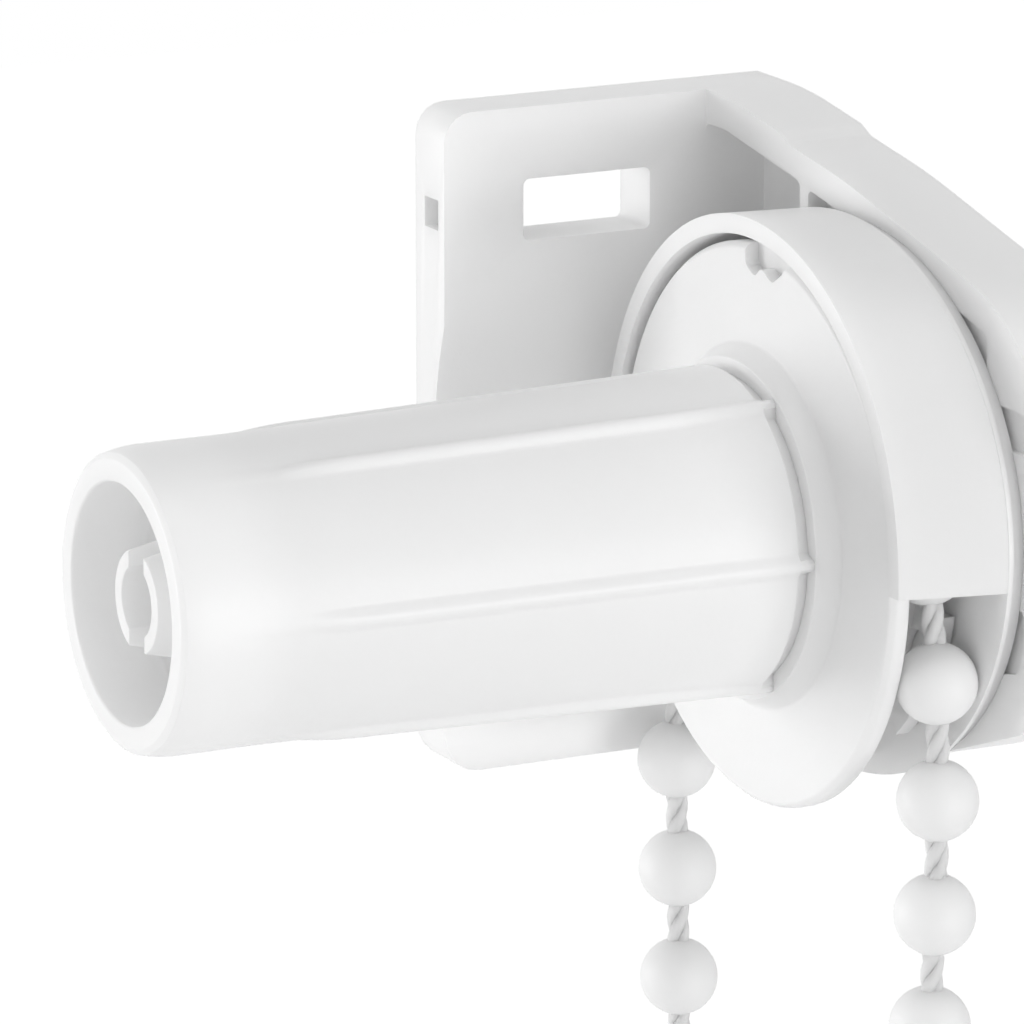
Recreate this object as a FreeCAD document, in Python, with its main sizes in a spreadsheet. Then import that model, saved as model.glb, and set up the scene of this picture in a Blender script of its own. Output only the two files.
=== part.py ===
"""Chain-driven end bracket of a roller blind, modelled in its own frame.

The origin is on the wall, at the centre of the mounting plate's back face. +X runs along the
drive sleeve towards the blind's tube, +Y away from the wall and +Z up. All sizes are millimetres.
The turning parts are drawn about the X axis with their zero at the front face of the chain wheel's
disc, and their placement then carries them to the drive axis.
"""
import FreeCAD, Part

import math
import os

from FreeCAD import Placement, Rotation, Vector

SIZES = [
    # Mounting plate
    ("plate_width", 20.3, "along the sleeve"),
    ("plate_height", 36.5, "upright"),
    ("plate_depth", 3.4, "away from the wall"),
    ("plate_corner", 2.2, "bevel of the two outer corners"),
    ("relief_depth", 1.1, "shallow hollow in the plate's face"),
    ("relief_top", 8.0, "where the hollow starts, above the plate's middle"),
    ("relief_bottom", 15.6, "where it ends, below the middle"),
    ("relief_ramp", 3.6, "length of its sloping ends"),
    ("slot_length", 7.1, "screw slot, along the sleeve"),
    ("slot_height", 3.0, "screw slot, upright"),
    ("slot_rise", 12.75, "slot centre from the plate's middle"),
    ("slot_shift", 1.8, "slot centre from the plate's middle, along the sleeve"),
    ("core_width", 1.6, "square core hole from the plate's end into the slot"),
    # Side arm
    ("arm_thickness", 4.9, "along the sleeve"),
    ("arm_web", 1.4, "closed back of the arm"),
    ("arm_wall", 1.8, "wall round the arm's edge"),
    ("arm_reach", 39.0, "from the wall to the arm's nose"),
    ("arm_shoulder", 5.6, "level stretch of its top edge"),
    ("nose_top", 12.8, "height of the nose's upper corner above the plate's middle"),
    ("nose_bottom", 8.4, "depth of the nose's lower corner below the middle"),
    ("arm_heel", 12.7, "depth of the arm's underside at the drive axis"),
    ("rib_thickness", 0.9, "ribs in the arm"),
    ("rib_place", 14.2, "upright rib, from the wall"),
    ("hub_radius", 10.5, "solid seat behind the drive"),
    ("bridge_top", 5.6, "upper side of the bridge to the nose"),
    ("bridge_bottom", 0.6, "lower side of the bridge, below the middle"),
    ("bridge_set", 0.6, "the bridge lies this far behind the arm's face"),
    ("plug_width", 9.0, "plug of the drive in the arm, away from the wall"),
    ("plug_height", 6.0, "plug of the drive in the arm, upright"),
    ("plug_play", 0.1, "room round the plug"),
    # Drive axis
    ("axis_out", 20.5, "from the wall"),
    ("axis_drop", 0.9, "below the plate's middle"),
    ("drive_depth", 6.3, "from the arm's face to the disc's face"),
    # Chain guard
    ("guard_radius", 15.75, "outside of the guard's front rim"),
    ("guard_rise", 0.3, "the rim's centre above the axis"),
    ("guard_lip", 0.3, "the rim stands this far before the disc"),
    ("guard_half_width", 17.1, "half width of the guard at its back"),
    ("guard_half_height", 14.5, "half height of the guard at its back"),
    ("guard_lift", 1.25, "the back oval's centre above the axis"),
    ("guard_wall", 1.0, "thickness of the guard's wall"),
    ("guard_plate", 0.9, "thickness of its back plate"),
    ("guard_mouth", 3.5, "the wall ends this far below the axis, on the room side"),
    ("guard_mouth_wall", 2.2, "the wall ends this far below the axis, on the wall's side"),
    # Spindle
    ("spindle_radius", 6.2, "seat that the wheel and the sleeve turn on"),
    ("spindle_length", 22.2, "length of that seat, before the disc's face"),
    ("pin_radius", 2.7, "split pin that holds the sleeve"),
    ("pin_set", 0.85, "the pin ends this far inside the sleeve's mouth"),
    ("pin_wall", 0.9, "wall of its two fingers"),
    ("pin_gap", 1.8, "gap between the fingers"),
    ("pin_split", 12.0, "depth of the gap"),
    ("barb", 0.35, "the fingers' barbs stand out this far"),
    ("play", 0.05, "running clearance on the spindle and the pin"),
    # Chain wheel
    ("disc_radius", 14.5, "front disc"),
    ("disc_thickness", 1.04, "front disc"),
    ("disc_bevel", 0.2, "bevel of its front edge"),
    ("wheel_radius", 12.4, "over the teeth between the pockets"),
    ("wheel_back", 5.15, "back face, behind the disc's face"),
    ("pocket_play", 0.25, "room round a bead in its pocket"),
    ("groove_width", 1.9, "groove for the cord between the beads"),
    ("groove_play", 0.4, "room under the cord"),
    ("collar_radius", 8.1, "boss on the disc, under the sleeve's foot"),
    ("collar_root", 8.9, "the boss at the disc"),
    ("collar_foot", 0.7, "height of its sloping root"),
    ("collar_height", 1.1, "the boss stands this far before the disc"),
    ("notch_depth", 1.5, "double notch in the disc's edge, at its two deep points"),
    ("notch_tooth", 1.0, "the same, at the tooth between them"),
    ("notch_pitch", 1.8, "between the two deep points"),
    ("notch_shift", 0.95, "the tooth from the disc's top, towards the room"),
    ("notch_near", 1.9, "from the tooth to the notch's edge, on the wall's side"),
    ("notch_far", 2.4, "the same, on the room side"),
    # Drive sleeve
    ("sleeve_radius", 7.75, "plain outside, past the ribs"),
    ("sleeve_foot", 8.2, "outside at the foot, from where it tapers"),
    ("neck_radius", 7.3, "groove between the sleeve and the boss"),
    ("neck_width", 0.95, "the same, along the sleeve"),
    ("sleeve_length", 35.25, "from the disc's face"),
    ("sleeve_bore", 6.08, "mouth of the sleeve"),
    ("nose_length", 1.0, "tapered nose"),
    ("nose_rim", 7.31, "outside of the end face"),
    ("nose_bevel", 0.25, "bevel of the end face"),
    ("sleeve_web", 1.5, "wall across the bore that the pin's barbs hold"),
    ("mouth_depth", 4.05, "depth of the open mouth"),
    ("sleeve_ribs", 6, "number of ribs"),
    ("sleeve_rib_width", 1.0, "rib on the sleeve"),
    ("sleeve_rib_crest", 8.65, "radius over the ribs at the foot"),
    ("sleeve_rib_low", 8.25, "the same, where they start to run out"),
    ("sleeve_rib_end", 28.6, "where a rib has run out"),
    ("sleeve_rib_run", 5.0, "length over which it runs out"),
    # Bead chain
    ("bead_radius", 2.1, "bead"),
    ("bead_count", 50, "beads on the endless loop"),
    ("cord_radius", 0.7, "cord through the beads"),
    ("chain_set", 3.2, "the chain's plane, behind the disc's face"),
    ("pitch_radius", 11.43, "bead centres on the wheel"),
    ("pocket_count", 12, "pockets on the wheel"),
    ("pocket_sides", 8, "flats round a pocket"),
    ("wheel_phase", 1.5, "degrees that the wheel and the beads stand past the top"),
]

# The chain's route in its plane, from the top of the wheel round by the room side, as
# (away from the wall, up) from the drive axis.
CHAIN_ROUTE = [
    (0.2, 11.43), (3.06, 11.43), (8.37, 8.37), (11.2, 3.6), (12.9, -1.6), (13.75, -7.5),
    (13.85, -15.0), (13.2, -25.5), (12.5, -45.0), (12.1, -72.0), (11.9, -99.0),
    (11.3, -114.3), (8.2, -121.9), (2.9, -125.7), (-3.1, -125.6), (-8.5, -121.7),
    (-11.6, -114.1), (-12.3, -99.0), (-12.7, -72.0), (-13.2, -45.0),
    (-13.8, -28.5), (-14.25, -17.0), (-14.1, -8.5), (-13.1, -2.0), (-11.3, 3.5), (-8.37, 8.37),
    (-3.06, 11.43), (-0.2, 11.43),
]

YZ = Rotation(0.5, 0.5, 0.5, 0.5)
XZ = Rotation(Vector(1, 0, 0), 90)

doc = FreeCAD.newDocument("roller_blind_bracket")
sheet = doc.addObject("Spreadsheet::Sheet", "Sizes")
for row, (alias, number, note) in enumerate(SIZES, start=1):
    sheet.set(f"A{row}", alias)
    sheet.set(f"B{row}", str(number))
    sheet.setAlias(f"B{row}", alias)
    sheet.set(f"C{row}", note)
doc.recompute()


def size(alias):
    """A driving size as a number."""
    return float(getattr(sheet, alias))


def bind(obj, **sizes):
    """Ties an object's properties to expressions in the sheet's aliases."""
    for name, formula in sizes.items():
        obj.setExpression(name.replace("__", "."), with_sheet(formula))
    return obj


def with_sheet(formula):
    """Puts the sheet's name before each alias in a formula."""
    words, word = [], ""
    for letter in str(formula) + " ":
        if letter.isalnum() or letter in "_.":
            word += letter
            continue
        words.append(f"Sizes.{word}" if word in ALIASES else word)
        words.append(letter)
        word = ""
    return "".join(words).strip()


ALIASES = {alias for alias, _, _ in SIZES}


def place(obj, x=None, y=None, z=None, turn=None):
    """Places an object by formulas, with an optional fixed turn."""
    if turn is not None:
        obj.Placement = Placement(Vector(0, 0, 0), turn)
    for axis, formula in (("x", x), ("y", y), ("z", z)):
        if formula is not None:
            obj.setExpression(f"Placement.Base.{axis}", with_sheet(formula))
    return obj


def box(name, length, width, height, x="0", y="0", z="0"):
    """A block from its low corner."""
    block = bind(doc.addObject("Part::Box", name), Length=length, Width=width, Height=height)
    return place(block, x, y, z)


def prism(name, corners, turn, length, back="0"):
    """An outline pushed along its normal."""
    body = doc.addObject("Part::Extrusion", name)
    body.Base = profile(f"{name}_outline", corners, turn)
    body.DirMode = "Normal"
    body.Solid = True
    return bind(body, LengthFwd=length, LengthRev=back)


def profile(name, corners, turn):
    """A fully dimensioned closed sketch: each corner is tied to two formulas."""
    import Sketcher

    sketch = doc.addObject("Sketcher::SketchObject", name)
    sketch.Placement = Placement(Vector(0, 0, 0), turn)
    points = [Vector(number(u), number(v), 0) for u, v in corners]
    count = len(points)
    for k in range(count):
        sketch.addGeometry(Part.LineSegment(points[k], points[(k + 1) % count]), False)
    for k in range(count):
        sketch.addConstraint(Sketcher.Constraint("Coincident", k, 2, (k + 1) % count, 1))
    for k, (u, v) in enumerate(corners):
        for kind, formula, value in (("DistanceX", u, points[k].x), ("DistanceY", v, points[k].y)):
            index = sketch.addConstraint(Sketcher.Constraint(kind, -1, 1, k, 1, value))
            sketch.setExpression(f"Constraints[{index}]", with_sheet(formula))
    return sketch


def number(formula):
    """The present value of a formula, worked out by the sheet."""
    sheet.set("E1", f"={formula}")
    sheet.recompute()
    return float(sheet.get("E1"))


def turned(name, corners):
    """A profile of (along the axis, radius) turned about the X axis."""
    body = doc.addObject("Part::Revolution", name)
    body.Source = profile(f"{name}_profile", corners, Rotation())
    body.Axis = Vector(1, 0, 0)
    body.Base = Vector(0, 0, 0)
    body.Angle = 360
    body.Solid = True
    return body


def cut(name, base, tool):
    """Base less tool."""
    result = doc.addObject("Part::Cut", name)
    result.Base = base
    result.Tool = tool
    return result


def fuse(name, *shapes):
    """One solid of several."""
    result = doc.addObject("Part::MultiFuse", name)
    result.Shapes = list(shapes)
    result.Refine = True
    return result


def around(name, shape, count):
    """Copies of a shape, evenly spaced about the X axis, as one group."""
    ring = doc.addObject("Part::Feature", name)
    doc.recompute()
    step = 360.0 / count
    copies = []
    for k in range(count):
        one = shape.Shape.copy()
        one.rotate(Vector(0, 0, 0), Vector(1, 0, 0), k * step)
        copies.append(one)
    ring.Shape = Part.makeCompound(copies)
    return ring


def on_axis(obj, label):
    """Carries a finished part of the drive to the drive axis."""
    obj.Label = label
    return place(obj, DISC_X, "axis_out", "-axis_drop")


ARM_BACK = "-plate_width / 2"
ARM_FACE = "(-plate_width / 2 + arm_thickness)"
DISC_X = "-plate_width / 2 + arm_thickness + drive_depth"


def make_bracket():
    """The wall plate and the ribbed arm, one moulding."""
    low, high = "-plate_height / 2", "plate_height / 2"
    end = "plate_width / 2"
    plate = prism("plate", [
        (ARM_BACK, low), (f"{end} - plate_corner", low), (end, f"{low} + plate_corner"),
        (end, f"{high} - plate_corner / 2"), (f"{end} - plate_corner / 2", high), (ARM_BACK, high),
    ], XZ, "0", "plate_depth")
    relief = prism("relief", [
        ("plate_depth + 1", "relief_top"), ("plate_depth", "relief_top"),
        ("plate_depth - relief_depth", "relief_top - relief_ramp"),
        ("plate_depth - relief_depth", "-relief_bottom + relief_ramp"),
        ("plate_depth", "-relief_bottom"), ("plate_depth + 1", "-relief_bottom"),
    ], YZ, f"{end} + 1", f"-{ARM_FACE}")
    arm_edge = [
        ("0", low), ("plate_depth", low), ("axis_out", "-arm_heel"),
        ("axis_out + (arm_reach - axis_out) * 0.38", "-arm_heel + 0.5"),
        ("arm_reach - 1.2", "-nose_bottom"), ("arm_reach", "-nose_bottom + 4"),
        ("arm_reach", "nose_top - 4"), ("arm_reach - 5.2", "nose_top"),
        ("axis_out - 2", "(plate_height / 2 + nose_top) / 2 + 0.6"),
        ("arm_shoulder", high), ("0", high),
    ]
    arm = prism("arm", arm_edge, YZ, ARM_FACE, "plate_width / 2")
    floor = f"{ARM_BACK} + arm_web"
    wall = "arm_wall"
    hollow = prism("arm_hollow", [
        ("plate_depth", f"{low} + {wall} + 1.2"), ("axis_out", f"-arm_heel + {wall}"),
        ("axis_out + (arm_reach - axis_out) * 0.38", f"-arm_heel + 0.5 + {wall}"),
        (f"arm_reach - 1.2 - {wall}", f"-nose_bottom + {wall} * 0.8"),
        (f"arm_reach - {wall}", "-nose_bottom + 4"),
        (f"arm_reach - {wall}", "nose_top - 4"), (f"arm_reach - 5.2 - {wall} / 2", f"nose_top - {wall}"),
        ("axis_out - 2", f"(plate_height / 2 + nose_top) / 2 + 0.6 - {wall}"),
        ("arm_shoulder", f"{high} - {wall}"), ("plate_depth", f"{high} - {wall}"),
    ], YZ, f"{ARM_FACE} + 1", f"-({floor})")
    rib = box("upright_rib", "arm_thickness - arm_web", "rib_thickness", "plate_height",
              floor, "rib_place - rib_thickness / 2", low)
    lower_rib = box("level_rib", "arm_thickness - arm_web", "axis_out", "rib_thickness",
                    floor, "0", "-axis_drop - rib_thickness / 2")
    hub = doc.addObject("Part::Cylinder", "hub")
    bind(hub, Radius="hub_radius", Height="arm_thickness - arm_web")
    place(hub, floor, "axis_out", "-axis_drop", Rotation(Vector(0, 1, 0), 90))
    bridge = box("bridge", "arm_thickness - arm_web - bridge_set", "arm_reach - axis_out",
                 "bridge_top + bridge_bottom", floor, "axis_out", "-bridge_bottom")
    corner_pad = box("corner_pad", "arm_thickness - arm_web", "4.4", "3.0",
                     floor, "arm_reach - 5.6", "nose_top - 5.0")
    kept = fuse("ribs", rib, lower_rib, hub, bridge, corner_pad)
    hollow_left = cut("hollow_left", hollow, kept)
    slots = []
    for side, sign in (("upper", 1), ("lower", -1)):
        slot = box(f"{side}_slot", "slot_length", "plate_depth + 2", "slot_height",
                   "slot_shift - slot_length / 2", "-1", f"{sign} * slot_rise - slot_height / 2")
        slots.append(slot)
    core = box("core_hole", "plate_width", "core_width", "core_width",
               "slot_shift", "(plate_depth - core_width) / 2 + 0.2", "slot_rise - core_width / 2")
    socket = box("socket", "plate_width", "plug_width + 2 * plug_play", "plug_height + 2 * plug_play",
                 "-plate_width", "axis_out - plug_width / 2 - plug_play",
                 "-axis_drop - plug_height / 2 - plug_play")
    whole = fuse("bracket_blank", plate, arm)
    tools = fuse("bracket_tools", relief, hollow_left, *slots, core)
    drilled = cut("bracket_drilled", whole, tools)
    bracket = cut("wall_bracket", drilled, socket)
    bracket.Label = "wall_bracket"
    return bracket


def oval(name, half_width, half_height, x, lift):
    """An oval wire across the axis."""
    ring = bind(doc.addObject("Part::Ellipse", name), MajorRadius=half_width, MinorRadius=half_height)
    return place(ring, x, "0", lift, YZ)


def loft(name, sections):
    """A solid through ovals."""
    body = doc.addObject("Part::Loft", name)
    body.Sections = sections
    body.Solid = True
    body.Ruled = True
    return body


def make_housing():
    """The chain guard with the fixed spindle, one moulding."""
    plate_front = "-drive_depth + guard_plate"
    outer = loft("guard_outside", [
        oval("rim_oval", "guard_radius", "guard_radius", "guard_lip", "guard_rise"),
        oval("back_oval", "guard_half_width", "guard_half_height", plate_front, "guard_lift"),
    ])
    inner = loft("guard_inside", [
        oval("rim_inner", "guard_radius - guard_wall", "guard_radius - guard_wall", "guard_lip",
             "guard_rise"),
        oval("back_inner", "guard_half_width - guard_wall", "guard_half_height - guard_wall",
             plate_front, "guard_lift"),
    ])
    shell = cut("guard_shell", outer, inner)
    mouth = fuse("guard_opening", *(
        box(f"{side}_opening", "3 * drive_depth", "2 * guard_radius", "2 * guard_radius",
            "-drive_depth - 1", start, f"-{end} - 2 * guard_radius")
        for side, start, end in (("room", "0", "guard_mouth"),
                                 ("wall", "-2 * guard_radius", "guard_mouth_wall"))))
    wall = cut("guard_wall_part", shell, mouth)
    plate = doc.addObject("Part::Extrusion", "guard_plate_part")
    plate.Base = oval("plate_oval", "guard_half_width", "guard_half_height", plate_front, "guard_lift")
    plate.DirMode = "Custom"
    plate.Dir = Vector(-1, 0, 0)
    plate.Solid = True
    bind(plate, LengthFwd="guard_plate")
    web_front = "sleeve_length - mouth_depth"
    pin_end = "sleeve_length - pin_set"
    spindle = turned("spindle", [
        ("-drive_depth", "0"), ("-drive_depth", "spindle_radius"), ("spindle_length", "spindle_radius"),
        ("spindle_length", "pin_radius"), (f"{web_front} + 0.1", "pin_radius"),
        (f"{web_front} + 0.1", "pin_radius + barb"), (f"{web_front} + 0.9", "pin_radius + barb"),
        (pin_end, "pin_radius - 0.1"), (pin_end, "0"),
    ])
    bore = doc.addObject("Part::Cylinder", "pin_bore")
    bind(bore, Radius="pin_radius - pin_wall", Height="pin_split + 1")
    place(bore, f"{pin_end} - pin_split", "0", "0", Rotation(Vector(0, 1, 0), 90))
    split = box("pin_gap_cut", "pin_split + 1", "pin_gap", "4 * pin_radius",
                f"{pin_end} - pin_split", "-pin_gap / 2", "-2 * pin_radius")
    pin = cut("pin_bored", cut("spindle_split", spindle, split), bore)
    plug = box("plug", "arm_thickness", "plug_width", "plug_height",
               "-drive_depth - arm_thickness", "-plug_width / 2", "-plug_height / 2")
    housing = fuse("guard_housing", wall, plate, pin, plug)
    return on_axis(housing, "guard_housing")


def make_chain_wheel():
    """The disc, the pocketed wheel behind it and the collar before it, one moulding."""
    back, edge = "-wheel_back", "-disc_thickness"
    groove_low, groove_high = "-chain_set - groove_width / 2", "-chain_set + groove_width / 2"
    groove_floor = "pitch_radius * cos(15) - cord_radius - groove_play"
    bore = "spindle_radius + play"
    blank = turned("wheel_blank", [
        (back, bore), (back, "wheel_radius"), (groove_low, "wheel_radius"), (groove_low, groove_floor),
        (groove_high, groove_floor), (groove_high, "wheel_radius"), (edge, "wheel_radius"),
        (edge, "disc_radius"), ("-disc_bevel", "disc_radius"), ("0", "disc_radius - disc_bevel"),
        ("0", "collar_root"), ("collar_foot", "collar_radius"), ("collar_height", "collar_radius"),
        ("collar_height", bore),
    ])
    pocket = bind(doc.addObject("Part::Prism", "pocket"), Polygon="pocket_sides",
                  Circumradius="(bead_radius + pocket_play) / cos(180 / pocket_sides)",
                  Height="wheel_back - disc_thickness + 1")
    place(pocket, "-wheel_back - 1", "pitch_radius * sin(wheel_phase)",
          "pitch_radius * cos(wheel_phase)", Rotation(Vector(0, 1, 0), 90))
    pockets = around("pockets", pocket, int(size("pocket_count")))
    near, far = "notch_shift - notch_near", "notch_shift + notch_far"
    above, tooth, deep = "disc_radius + 1", "disc_radius - notch_tooth", "disc_radius - notch_depth"
    notch = prism("edge_notch", [
        (near, above), (near, tooth), ("notch_shift - notch_pitch / 2", deep),
        ("notch_shift - notch_pitch / 5", tooth), ("notch_shift", tooth),
        ("notch_shift + notch_pitch / 2", deep), (f"{far} - notch_tooth / 2", f"{tooth} + 0.1"),
        (far, "disc_radius - notch_depth / 4"), (far, above),
    ], YZ, "disc_thickness", "disc_thickness + 0.2")
    wheel = cut("chain_wheel", blank, fuse("wheel_tools", pockets, notch))
    return on_axis(wheel, "chain_wheel")


def make_sleeve():
    """The plug that carries the blind's tube, with six ribs that run out towards its nose."""
    web_front = "sleeve_length - mouth_depth"
    tube = turned("sleeve_tube", [
        ("collar_height", "spindle_radius + play"), ("collar_height", "neck_radius"),
        ("collar_height + neck_width", "neck_radius"), ("collar_height + neck_width", "sleeve_foot"),
        ("sleeve_rib_end", "sleeve_radius"), ("sleeve_length - nose_length", "sleeve_radius"),
        ("sleeve_length - nose_bevel", "nose_rim + nose_bevel"), ("sleeve_length", "nose_rim"),
        ("sleeve_length", "sleeve_bore"), (web_front, "sleeve_bore"), (web_front, "pin_radius + play"),
        (f"{web_front} - sleeve_web", "pin_radius + play"), (f"{web_front} - sleeve_web", "spindle_radius + play"),
    ])
    rib = doc.addObject("Part::Extrusion", "sleeve_rib")
    rib.Base = profile("sleeve_rib_side", [
        ("collar_height", "neck_radius - 0.3"), ("collar_height", "sleeve_rib_crest"),
        ("sleeve_rib_end - sleeve_rib_run", "sleeve_rib_low"),
        ("sleeve_rib_end", "sleeve_radius - 0.05"), ("sleeve_rib_end", "neck_radius - 0.3"),
    ], XZ)
    rib.DirMode = "Normal"
    rib.Solid = True
    bind(rib, LengthFwd="sleeve_rib_width / 2", LengthRev="sleeve_rib_width / 2")
    first = doc.addObject("Part::Feature", "first_rib")
    doc.recompute()
    first.Shape = rib.Shape.copy()
    first.Placement = Placement(Vector(0, 0, 0), Rotation(Vector(1, 0, 0), 30))
    ribs = around("sleeve_ribs_ring", first, int(size("sleeve_ribs")))
    sleeve = fuse("drive_sleeve", tube, ribs)
    return on_axis(sleeve, "drive_sleeve")


def chain_path():
    """The route as straight runs joined by tangent arcs, each as large as its runs allow."""
    points = [Vector(-size("chain_set"), y, z) for y, z in CHAIN_ROUTE]
    edges, at, tightest = [], points[0], None
    for before, corner, after in zip(points, points[1:], points[2:]):
        into, out = corner - before, after - corner
        turn = into.getAngle(out)
        reach = 0.45 * min(into.Length, out.Length)
        radius = reach / math.tan(turn / 2)
        tightest = min(radius, tightest or radius)
        start = corner - into.normalize() * reach
        finish = corner + out.normalize() * reach
        bisector = (finish - corner + start - corner).normalize()
        middle = corner + bisector * (radius / math.cos(turn / 2) - radius)
        edges.append(Part.LineSegment(at, start).toShape())
        edges.append(Part.Arc(start, middle, finish).toShape())
        at = finish
    edges.append(Part.LineSegment(at, points[-1]).toShape())
    return Part.Wire(edges), tightest


def make_chain():
    """The endless cord and its beads."""
    path, tightest = chain_path()
    radius = size("cord_radius")
    start = path.Edges[0].valueAt(path.Edges[0].FirstParameter)
    sides = 6
    section = Part.makePolygon([
        start + Vector(math.sin(2 * math.pi * k / sides), 0, math.cos(2 * math.pi * k / sides)) * radius
        for k in range(sides + 1)])
    tube = path.makePipeShell([section], True, True)
    expected = sides / 2 * math.sin(2 * math.pi / sides) * radius ** 2 * path.Length
    print(f"chain: cord {path.Length:.2f} mm, tightest radius {tightest:.2f} mm,"
          f" volume {tube.Volume / expected:.4f} of section times length")
    cord = doc.addObject("Part::Feature", "bead_chain_cord")
    cord.Shape = tube
    on_axis(cord, "bead_chain_cord")
    count = int(size("bead_count"))
    gap = CHAIN_ROUTE[0][0] * 2
    pitch = (path.Length + gap) / count
    lead = math.radians(size("wheel_phase")) * size("pitch_radius")
    print(f"chain: bead pitch {pitch:.3f} mm")
    beads = []
    for k in range(count):
        beads.append(bead(*along(path, k * pitch - gap / 2 + lead)))
    group = doc.addObject("Part::Feature", "chain_beads")
    group.Shape = Part.makeCompound(beads)
    on_axis(group, "chain_beads")
    return cord, group


def along(path, distance):
    """The point and direction at a distance along the path."""
    if distance <= 0:
        first = path.Edges[0]
        direction = first.tangentAt(first.FirstParameter)
        return first.valueAt(first.FirstParameter) + direction * distance, direction
    for edge in path.Edges:
        if distance <= edge.Length:
            where = edge.getParameterByLength(distance)
            return edge.valueAt(where), edge.tangentAt(where)
        distance -= edge.Length
    raise ValueError("the chain is longer than its path")


def bead(centre, direction):
    """A round bead in flat facets, threaded on the cord."""
    radius, sides = size("bead_radius"), 8
    rings = []
    for slant in (-66, -22, 22, 66):
        across = radius * math.cos(math.radians(slant))
        up = radius * math.sin(math.radians(slant))
        rings.append([Vector(across * math.cos(2 * math.pi * k / sides),
                             across * math.sin(2 * math.pi * k / sides), up)
                      for k in range(sides + 1)])
    faces = [Part.Face(Part.makePolygon(ring)) for ring in (rings[0], rings[-1])]
    for low, high in zip(rings, rings[1:]):
        for k in range(sides):
            faces.append(Part.Face(Part.makePolygon(
                [low[k], low[k + 1], high[k + 1], high[k], low[k]])))
    solid = Part.makeSolid(Part.makeShell(faces))
    if solid.Volume < 0:
        solid.reverse()
    solid.Placement = Placement(centre, Rotation(Vector(0, 0, 1), direction))
    return solid


def main():
    """Builds every sub-part, checks it and writes it."""
    parts = [make_bracket(), make_housing(), make_chain_wheel(), make_sleeve(), *make_chain()]
    doc.recompute()
    for obj in doc.Objects:
        if "Invalid" in obj.State or "Error" in obj.State:
            raise RuntimeError(f"{obj.Name} failed: {obj.State}")
    os.makedirs("parts", exist_ok=True)
    for part in parts:
        shape = part.Shape
        if shape.isNull() or not shape.isValid():
            raise RuntimeError(f"{part.Label} has no valid shape")
        print(f"{part.Label}: {len(shape.Solids)} solid(s), {shape.Volume:.1f} mm3")
        shape.exportStep(f"parts/{part.Label}.step")


main()
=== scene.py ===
"""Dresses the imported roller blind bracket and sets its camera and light.

Every piece is modelled in millimetres, the turning ones about the X axis with their zero at the
front face of the chain wheel's disc, and is then carried into the model's frame in metres.
"""
from __future__ import annotations

import logging
import math
from dataclasses import dataclass, field
from enum import Enum
from typing import Iterable, Sequence

import bmesh
import bpy
from mathutils import Matrix, Vector

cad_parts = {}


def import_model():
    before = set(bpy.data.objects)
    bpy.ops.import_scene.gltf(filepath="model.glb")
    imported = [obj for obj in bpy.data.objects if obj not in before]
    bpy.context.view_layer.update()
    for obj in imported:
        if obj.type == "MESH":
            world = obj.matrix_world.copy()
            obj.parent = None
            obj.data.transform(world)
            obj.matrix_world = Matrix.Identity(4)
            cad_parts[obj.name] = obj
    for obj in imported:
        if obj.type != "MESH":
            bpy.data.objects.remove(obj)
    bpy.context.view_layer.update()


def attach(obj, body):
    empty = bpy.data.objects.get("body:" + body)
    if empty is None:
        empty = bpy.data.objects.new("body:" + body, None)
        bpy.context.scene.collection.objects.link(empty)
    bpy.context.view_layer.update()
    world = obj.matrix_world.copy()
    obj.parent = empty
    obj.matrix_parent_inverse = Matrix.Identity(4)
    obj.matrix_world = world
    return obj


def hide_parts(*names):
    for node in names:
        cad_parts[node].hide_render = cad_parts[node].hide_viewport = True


LOG = logging.getLogger("roller_blind_bracket")
MM = 0.001
Point2 = tuple[float, float]


class Body(Enum):
    """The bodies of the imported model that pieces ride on."""

    BRACKET = "bracket"
    DRIVE = "drive"


class Slot(Enum):
    """The record's material slots."""

    BRACKET = "bracket_plastic"
    GUARD = "guard_plastic"
    WHEEL = "wheel_plastic"
    SLEEVE = "sleeve_plastic"
    CORD = "chain_cord"
    BEAD = "chain_bead"


class Plane(Enum):
    """The plane that an outline is drawn in, by the axes of its two numbers."""

    YZ = "yz"
    XZ = "xz"


@dataclass(frozen=True)
class DriveAxis:
    """Where the drive's own frame lies in the model, in millimetres."""

    disc_x: float = 1.05
    out: float = 20.5
    drop: float = 0.9

    def to_row(self) -> Matrix:
        """Returns the matrix from the drive's frame in millimetres to the model in metres."""
        place = Matrix.Translation(Vector((self.disc_x, self.out, -self.drop)))
        return Matrix.Scale(MM, 4) @ place


AXIS = DriveAxis()
WALL_TO_ROW = Matrix.Scale(MM, 4)


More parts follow.
